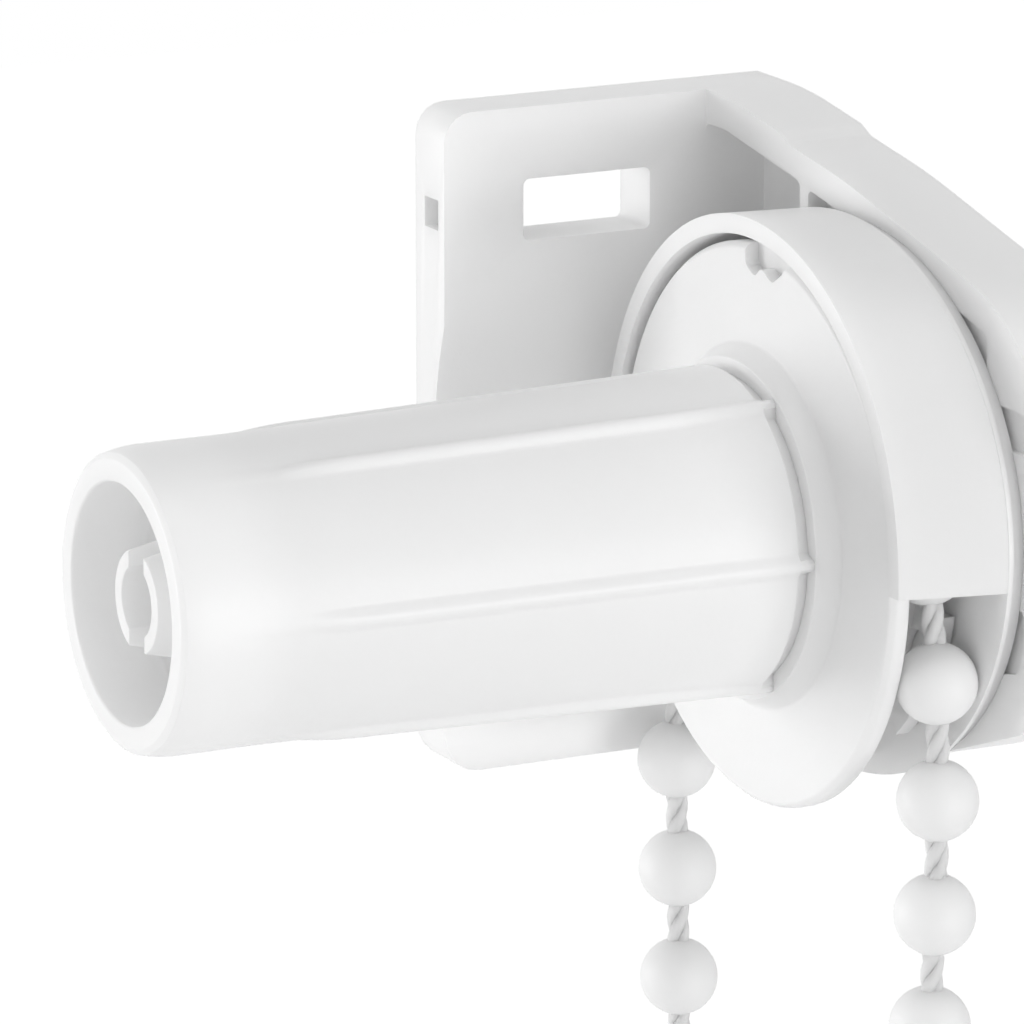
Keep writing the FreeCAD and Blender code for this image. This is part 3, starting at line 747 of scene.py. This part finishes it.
@dataclass
class DriveSleeve:
    """The plug that carries the tube, with six ribs that run out towards its nose."""

    radius: float = 7.75
    foot: float = 8.45
    shoulder: float = 8.15
    shoulder_at: float = 8.0
    neck: float = 8.0
    neck_width: float = 0.75
    length: float = 35.25
    mouth: float = 6.08
    bore: float = 6.25
    nose_length: float = 1.3
    nose_rim: float = 7.2
    nose_step: float = 0.22
    web: float = 1.5
    mouth_depth: float = 4.05
    pin_hole: float = 2.75
    ribs: int = 6
    rib_half_width: float = 0.62
    rib_flat: float = 0.1
    rib_start: float = 1.1
    rib_end: float = 28.6
    rib_run: float = 5.0
    rib_crest: float = 8.75
    rib_low: float = 8.25
    rib_turn: float = 30.0
    rib_rows: int = 18
    rib_foot: float = 1.6
    rib_foot_drop: float = 0.17
    edge_round: float = 0.1
    segments: int = 432
    finish: MouldedPlastic = field(default_factory=lambda: MouldedPlastic("sleeve_white"))

    def build(self) -> bpy.types.Object:
        """Models the sleeve and returns it."""
        front, start = self.length - self.mouth_depth, self.rib_start
        profile = [
            (start, self.bore), (start, self.neck), (start + self.neck_width, self.neck),
            (start + self.neck_width, self.foot), (self.shoulder_at, self.shoulder),
            (self.rib_end, self.radius), (self.length - self.nose_length, self.radius),
            (self.length - self.nose_step, self.nose_rim + 0.32), (self.length, self.nose_rim),
            (self.length, self.mouth), (front, self.mouth), (front, self.pin_hole),
            (front - self.web, self.pin_hole), (front - self.web, self.bore),
        ]
        rounds = {3: 0.12, 6: 0.5, 7: 0.04, 8: 0.05, 9: 0.15, 10: 0.4, 11: 0.15}
        body = Workshop.turned(profile, rounds, self.segments)
        self.raise_ribs(body)
        sleeve = Workshop.to_object(body, "Drive_sleeve_moulding", AXIS.to_row())
        Workshop.combine(sleeve, [self.rib_feet()], AXIS.to_row(), cut=False)
        Workshop.soften(sleeve, self.edge_round, steps=2)
        Workshop.shade(sleeve)
        return put_on(sleeve, Body.DRIVE, self.finish, ["drive_sleeve"])

    def crest_at(self, x: float) -> float:
        """Returns the radius over the ribs at a place along the sleeve."""
        run_from = self.rib_end - self.rib_run
        if x < run_from:
            share = (x - self.rib_start) / (run_from - self.rib_start)
            return self.rib_crest + (self.rib_low - self.rib_crest) * share
        share = (x - run_from) / self.rib_run
        return self.rib_low + (self.radius - self.rib_low) * share * share

    def raise_ribs(self, bm: bmesh.types.BMesh) -> None:
        """Raises the ribs out of the turned body.

        Args:
            bm: The turned body.
        """
        long_edges = [edge for edge in bm.edges
                      if abs(edge.verts[0].co.x - edge.verts[1].co.x) > 3.0
                      and all(v.co.yz.length > self.radius - 0.01 and v.co.x < self.rib_end + 0.01
                              for v in edge.verts)]
        bmesh.ops.subdivide_edges(bm, edges=long_edges, cuts=self.rib_rows, use_grid_fill=True)
        spacing = 2 * math.pi / self.ribs
        slope = self.rib_half_width - self.rib_flat
        for vert in bm.verts:
            radius = vert.co.yz.length
            crest = self.crest_at(vert.co.x)
            if radius < self.radius - 0.01 or vert.co.x > self.rib_end or crest <= radius:
                continue
            turn = math.atan2(vert.co.y, vert.co.z) - math.radians(self.rib_turn)
            across = abs((turn + spacing / 2) % spacing - spacing / 2) * radius
            share = min(max((self.rib_half_width - across) / slope, 0.0), 1.0)
            grown = 1 + (crest / radius - 1) * share * share * (3 - 2 * share)
            vert.co.yz = vert.co.yz * grown

    def rib_feet(self) -> bmesh.types.BMesh:
        """Returns the ends of the ribs that reach over the neck to the collar."""
        bm = bmesh.new()
        length, low, high = self.rib_foot, self.neck - 0.3, self.rib_crest - self.rib_foot_drop
        for k in range(self.ribs):
            angle = math.radians(self.rib_turn + 360.0 * k / self.ribs)
            place = (Matrix.Rotation(angle, 4, "X")
                     @ Matrix.Translation(Vector((self.rib_start + length / 2, 0, (low + high) / 2)))
                     @ Matrix.Diagonal((length, self.rib_half_width, high - low, 1.0)))
            bmesh.ops.create_cube(bm, size=1.0, matrix=place)
        return bm


@dataclass
class BeadChain:
    """The endless beaded pull chain, on its cord."""

    chain_set: float = -3.2
    bead_radius: float = 2.1
    bead_count: int = 50
    cord_radius: float = 0.62
    strand_radius: float = 0.37
    lay: float = 4.2
    strands: int = 3
    strand_step: float = 0.3
    lead: float = 0.5
    route: tuple[Point2, ...] = (
        (0.2, 12.2), (3.06, 12.2), (8.5, 9.0), (11.2, 4.3), (12.9, -0.8), (13.75, -6.9),
        (13.85, -14.4), (13.2, -24.9), (12.5, -44.4), (12.1, -71.4), (11.9, -98.4),
        (11.3, -113.7), (8.2, -121.4), (2.9, -125.3), (-3.1, -125.2), (-8.5, -121.2),
        (-11.6, -113.5), (-12.3, -98.4), (-12.7, -71.4), (-13.2, -44.4),
        (-13.8, -27.9), (-14.25, -16.4), (-14.1, -7.9), (-13.1, -1.2), (-11.3, 4.2),
        (-8.5, 9.0), (-3.06, 12.2), (-0.2, 12.2),
    )
    bead_finish: MouldedPlastic = field(default_factory=lambda: MouldedPlastic(
        "bead_white", colour=0.90, shade=0.86, roughness=0.5))
    cord_finish: MouldedPlastic = field(default_factory=lambda: MouldedPlastic(
        "cord_white", colour=0.93, shade=0.86, roughness=0.7, grain=9000.0, relief=0.00003))

    def build(self) -> bpy.types.Object:
        """Models the cord and the beads and returns the cord."""
        line = self.centreline()
        cord = self.laid_cord(line)
        put_on(cord, Body.BRACKET, self.cord_finish, ["bead_chain_cord"])
        beads = self.beads(line)
        put_on(beads, Body.BRACKET, self.bead_finish, ["chain_beads"])
        length = sum((b - a).length for a, b in zip(line, line[1:]))
        LOG.info("chain: the cord's line is %.2f mm long", length / MM)
        return cord

    def centreline(self) -> list[Vector]:
        """Returns points along the route's NURBS curve, in the model's frame."""
        curve = bpy.data.curves.new("chain_route", "CURVE")
        curve.dimensions = "3D"
        curve.resolution_u = 16
        spline = curve.splines.new("NURBS")
        spline.points.add(len(self.route) - 1)
        to_row = AXIS.to_row()
        for point, (y, z) in zip(spline.points, self.route):
            point.co = (*(to_row @ Vector((self.chain_set, y, z))), 1.0)
        spline.order_u = 3
        spline.use_endpoint_u = True
        mesh = Workshop.curve_mesh(curve)
        line = [vert.co.copy() for vert in mesh.vertices]
        bpy.data.meshes.remove(mesh)
        return line

    def at(self, line: Sequence[Vector], distance: float) -> tuple[Vector, Vector]:
        """Returns the point and the direction at a distance along a line.

        Args:
            line: The line's points.
            distance: The distance from its start, in metres.

        Returns:
            The point and the unit direction there.
        """
        for first, second in zip(line, line[1:]):
            step = second - first
            if distance <= step.length:
                return first + step.normalized() * distance, step.normalized()
            distance -= step.length
        step = line[-1] - line[-2]
        return line[-1] + step.normalized() * distance, step.normalized()

    def laid_cord(self, line: Sequence[Vector]) -> bpy.types.Object:
        """Returns the cord as strands laid round the line.

        Args:
            line: The cord's centreline.

        Returns:
            The cord.
        """
        length = sum((b - a).length for a, b in zip(line, line[1:]))
        strand, lay, step = self.strand_radius * MM, self.lay * MM, self.strand_step * MM
        curve = bpy.data.curves.new("cord_strands", "CURVE")
        curve.dimensions = "3D"
        curve.bevel_depth, curve.bevel_resolution, curve.use_fill_caps = strand, 2, True
        count = int(length / step)
        side = Vector((1, 0, 0))
        for turn in range(self.strands):
            spline = curve.splines.new("POLY")
            spline.points.add(count)
            for k, node in enumerate(spline.points):
                point, along = self.at(line, length * k / count)
                other = along.cross(side).normalized()
                angle = 2 * math.pi * (length * k / count / lay + turn / self.strands)
                centre = point + (side * math.cos(angle) + other * math.sin(angle)) * (
                    self.cord_radius * MM - strand)
                node.co = (*centre, 1.0)
        bm = bmesh.new()
        mesh = Workshop.curve_mesh(curve)
        bm.from_mesh(mesh)
        bpy.data.meshes.remove(mesh)
        bmesh.ops.remove_doubles(bm, verts=list(bm.verts), dist=1e-7)
        bmesh.ops.recalc_face_normals(bm, faces=list(bm.faces))
        cord = Workshop.to_object(bm, "Chain_cord", Matrix.Identity(4))
        return Workshop.shade(cord, 80.0)

    def beads(self, line: Sequence[Vector]) -> bpy.types.Object:
        """Returns the beads along the line, as one piece.

        Args:
            line: The cord's centreline.

        Returns:
            The beads.
        """
        length = sum((b - a).length for a, b in zip(line, line[1:]))
        gap = 2 * self.route[0][0] * MM
        pitch = (length + gap) / self.bead_count
        bm = bmesh.new()
        for k in range(self.bead_count):
            point, along = self.at(line, k * pitch - gap / 2 + self.lead * MM)
            turn = Vector((0, 0, 1)).rotation_difference(along).to_matrix().to_4x4()
            bmesh.ops.create_uvsphere(bm, u_segments=32, v_segments=20,
                                      radius=self.bead_radius * MM,
                                      matrix=Matrix.Translation(point) @ turn)
        beads = Workshop.to_object(bm, "Chain_bead_row", Matrix.Identity(4))
        return Workshop.shade(beads, 60.0)


@dataclass(frozen=True)
class PhotoCamera:
    """The camera, at the photograph's viewing angle.

    Attributes:
        azimuth: From +Y towards +X, in degrees.
        elevation: Above the horizon, in degrees.
        distance: From that point along the view, in millimetres.
        across: Shift of the eye to the right, in millimetres.
        raised: Shift of the eye upwards, in millimetres.
        pixels: Focal length in pixels of the picture's width.
        width: The picture's width in pixels.
        zero: The point that the view turns about, in the wall's frame in millimetres.
    """

    azimuth: float = 26.631
    elevation: float = 14.079
    distance: float = 400.316
    across: float = -12.088
    raised: float = 0.421
    pixels: float = 7840.188
    width: int = 1024
    zero: tuple[float, float, float] = (1.25, 20.5, -0.6)

    def build(self) -> bpy.types.Object:
        """Makes the camera and returns it."""
        turn, lift = math.radians(self.azimuth), math.radians(self.elevation)
        back = Vector((math.sin(turn) * math.cos(lift), math.cos(turn) * math.cos(lift),
                       math.sin(lift)))
        right = Vector((0, 0, 1)).cross(back).normalized()
        up = back.cross(right)
        eye = right * self.across + up * self.raised + back * self.distance
        data = bpy.data.cameras.new("photo_camera")
        data.sensor_width = 36.0
        data.lens = 36.0 * self.pixels / self.width
        data.clip_start, data.clip_end = 0.01, 20.0
        camera = bpy.data.objects.new("photo_camera", data)
        camera.matrix_world = (Matrix.Translation(WALL_TO_ROW @ (Vector(self.zero) + eye))
                               @ Matrix((right, up, back)).transposed().to_4x4())
        bpy.context.scene.collection.objects.link(camera)
        bpy.context.scene.camera = camera
        return camera


@dataclass(frozen=True)
class AreaLamp:
    """A soft square lamp, aimed at the bracket."""

    name: str
    place: tuple[float, float, float]
    size: float
    power: float

    def build(self) -> bpy.types.Object:
        """Makes the lamp and returns it."""
        data = bpy.data.lights.new(self.name, "AREA")
        data.shape = "SQUARE"
        data.size = self.size
        data.energy = self.power
        lamp = bpy.data.objects.new(self.name, data)
        lamp.location = self.place
        aim = Vector((0.01, 0.02, 0.0)) - Vector(self.place)
        lamp.rotation_mode = "QUATERNION"
        lamp.rotation_quaternion = aim.to_track_quat("-Z", "Y")
        bpy.context.scene.collection.objects.link(lamp)
        return lamp


@dataclass
class Studio:
    """The pale floor, the sky and the lamps."""

    floor_height: float = -0.6
    floor_size: float = 6.0
    floor_grey: float = 0.8
    floor_glow: float = 0.6
    sky: float = 0.50
    lamps: tuple[AreaLamp, ...] = (
        AreaLamp("key_lamp", (1.22, -0.77, -0.05), 0.7, 9.0),
        AreaLamp("side_lamp", (1.0, 1.1, -0.2), 0.9, 2.0),
        AreaLamp("fill_lamp", (-0.4, 1.45, -0.1), 0.9, 7.8),
        AreaLamp("top_lamp", (0.1, 0.3, 1.5), 0.9, 4.0),
    )

    def build(self) -> None:
        """Makes the floor, the sky and the lamps."""
        for lamp in self.lamps:
            lamp.build()
        self.sky_light()
        bm = bmesh.new()
        bmesh.ops.create_grid(bm, x_segments=1, y_segments=1, size=self.floor_size / 2,
                              matrix=Matrix.Translation(Vector((0, 0, self.floor_height))))
        floor = Workshop.to_object(bm, "studio_floor", Matrix.Identity(4))
        floor.data.materials.append(self.floor_material())

    def floor_material(self) -> bpy.types.Material:
        """Returns a white that the camera sees as the backdrop and that keeps the shadow."""
        material = bpy.data.materials.new("studio_white")
        material.use_nodes = True
        nodes, links = material.node_tree.nodes, material.node_tree.links
        shader = nodes["Principled BSDF"]
        shader.inputs["Base Color"].default_value = (self.floor_grey,) * 3 + (1.0,)
        shader.inputs["Roughness"].default_value = 0.9
        shader.inputs["Specular IOR Level"].default_value = 0.0
        lift = nodes.new("ShaderNodeMath")
        lift.operation = "MULTIPLY"
        lift.inputs[1].default_value = self.floor_glow
        links.new(self.backdrop_rays(nodes, links), lift.inputs[0])
        shader.inputs["Emission Color"].default_value = (1.0, 1.0, 1.0, 1.0)
        links.new(lift.outputs[0], shader.inputs["Emission Strength"])
        return material

    def backdrop_rays(self, nodes: bpy.types.Nodes,
                      links: bpy.types.NodeLinks) -> bpy.types.NodeSocket:
        """Returns a mask of the rays that see the backdrop plain white."""
        path = nodes.new("ShaderNodeLightPath")
        seen = path.outputs["Is Camera Ray"]
        for name in ("Is Glossy Ray", "Is Transmission Ray"):
            either = nodes.new("ShaderNodeMath")
            either.operation = "MAXIMUM"
            links.new(seen, either.inputs[0])
            links.new(path.outputs[name], either.inputs[1])
            seen = either.outputs[0]
        return seen

    def sky_light(self) -> None:
        """Lights the object evenly and shows the camera plain white."""
        world = bpy.data.worlds.new("studio_sky")
        bpy.context.scene.world = world
        world.use_nodes = True
        nodes, links = world.node_tree.nodes, world.node_tree.links
        background = nodes["Background"]
        blend = nodes.new("ShaderNodeMix")
        blend.data_type = "FLOAT"
        blend.inputs["A"].default_value = self.sky
        blend.inputs["B"].default_value = 1.0
        links.new(self.backdrop_rays(nodes, links), blend.inputs["Factor"])
        links.new(blend.outputs["Result"], background.inputs["Strength"])
        background.inputs["Color"].default_value = (1.0, 1.0, 1.0, 1.0)


def corners(bounds: tuple[Vector, Vector]) -> list[list[float]]:
    """Returns a box's two corners as plain lists."""
    return [list(corner) for corner in bounds]


def main() -> None:
    """Builds the camera, the chain, the mouldings and the studio."""
    logging.basicConfig(level=logging.INFO, format="%(name)s: %(message)s")
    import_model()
    bpy.context.scene.view_settings.view_transform = "Standard"
    PhotoCamera().build()
    for assembly in (BeadChain(), WallBracket(), ChainGuard(), ChainWheel(), DriveSleeve()):
        made = assembly.build()
        LOG.info("%s is dressed", made.name)
    Studio().build()


if __name__ == "__main__":
    main()
